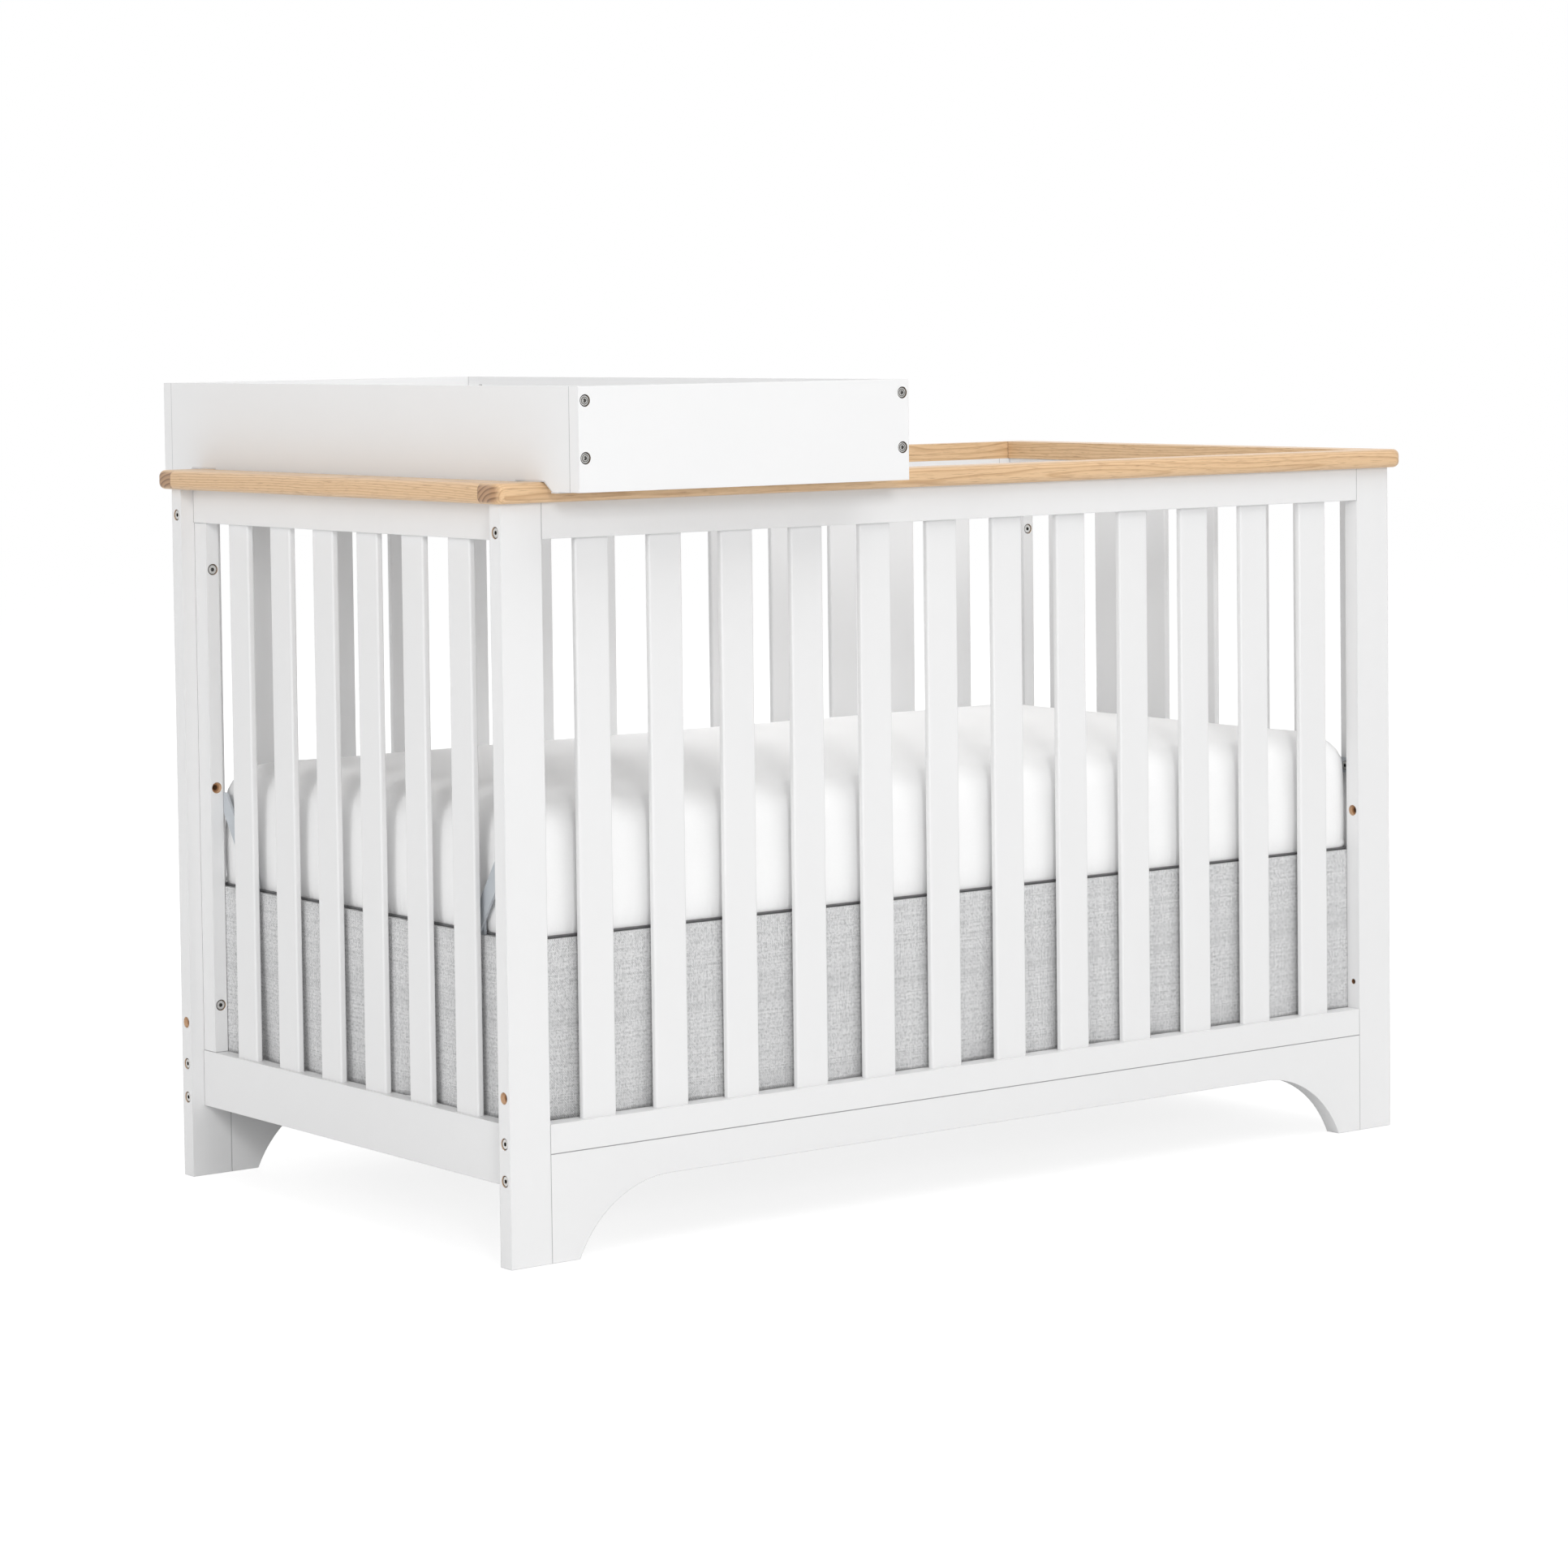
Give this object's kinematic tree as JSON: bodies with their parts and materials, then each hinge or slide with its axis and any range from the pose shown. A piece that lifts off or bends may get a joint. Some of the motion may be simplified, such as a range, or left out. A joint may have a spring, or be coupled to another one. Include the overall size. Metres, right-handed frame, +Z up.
{
  "type": "crib with changer",
  "caption": "Slatted white crib with natural wood cap rails, arched aprons, mattress, linen skirt and a changer tray that straddles the rails.",
  "frame": {"origin": "on the floor under the middle of the whole object, which is the middle of the crib's length and of the changer tray's length", "axes": "+X along the crib from the tray's end to the open end, +Y from front to back, +Z up"},
  "size_m": [1.434, 0.948, 1.011],
  "materials": {
    "white_paint": "satin",
    "natural_wood": "satin",
    "nickel": "satin",
    "support_steel": "satin",
    "clear_liner": "gloss",
    "skirt_linen": "matte",
    "mattress_cover": "matte",
    "piping": "matte"
  },
  "bodies": {
    "crib_frame": {"front_left_stile": "white_paint", "front_right_stile": "white_paint", "front_top_rail": "white_paint", "front_bottom_rail": "white_paint", "front_apron": "white_paint", "front_slats": "white_paint", "rear_left_stile": "white_paint", "rear_right_stile": "white_paint", "rear_top_rail": "white_paint", "rear_bottom_rail": "white_paint", "rear_apron": "white_paint", "rear_slats": "white_paint", "left_top_rail": "white_paint", "left_bottom_rail": "white_paint", "left_front_batten": "white_paint", "left_rear_batten": "white_paint", "left_slats": "white_paint", "right_top_rail": "white_paint", "right_bottom_rail": "white_paint", "right_front_batten": "white_paint", "right_rear_batten": "white_paint", "right_slats": "white_paint", "front_cap": "natural_wood", "rear_cap": "natural_wood", "left_cap": "natural_wood", "right_cap": "natural_wood", "frame_bolts": "nickel", "frame_barrel_nuts": "nickel", "panel_bolts": "nickel", "panel_inserts": "nickel", "hanger_inserts": "nickel", "cap_dowels": "natural_wood", "apron_dowels": "natural_wood"},
    "changer_saddles": {"changer_saddles": "clear_liner"},
    "changer": {"changer_front_board": "white_paint", "changer_rear_board": "white_paint", "changer_left_board": "white_paint", "changer_right_board": "white_paint", "changer_base": "white_paint", "changer_bolts": "nickel", "changer_barrel_nuts": "nickel"},
    "mattress_support": {"support_front_rail": "support_steel", "support_rear_rail": "support_steel", "support_left_bar": "support_steel", "support_right_bar": "support_steel", "support_arms": "support_steel", "support_straps": "support_steel", "support_rivets": "nickel", "hanger_bolts": "nickel", "skirt_platform": "skirt_linen", "skirt_front": "skirt_linen", "skirt_rear": "skirt_linen", "skirt_left": "skirt_linen", "skirt_right": "skirt_linen"},
    "mattress": {"mattress": "mattress_cover", "mattress_piping": "piping"}
  },
  "joints": [
    {"name": "changer_slide", "type": "slide", "parent": "crib_frame", "child": "changer_saddles", "axis": [1, 0, 0], "range_m": [-0.0095, 0.8385]},
    {"name": "changer_lift", "type": "slide", "parent": "changer_saddles", "child": "changer", "axis": [0, 0, 1], "range_m": [0, 0.3]},
    {"name": "support_height", "type": "slide", "parent": "crib_frame", "child": "mattress_support", "axis": [0, 0, 1], "range_m": [-0.15, 0]},
    {"name": "mattress_lift", "type": "slide", "parent": "mattress_support", "child": "mattress", "axis": [0, 0, 1], "range_m": [0, 0.349]}
  ]
}
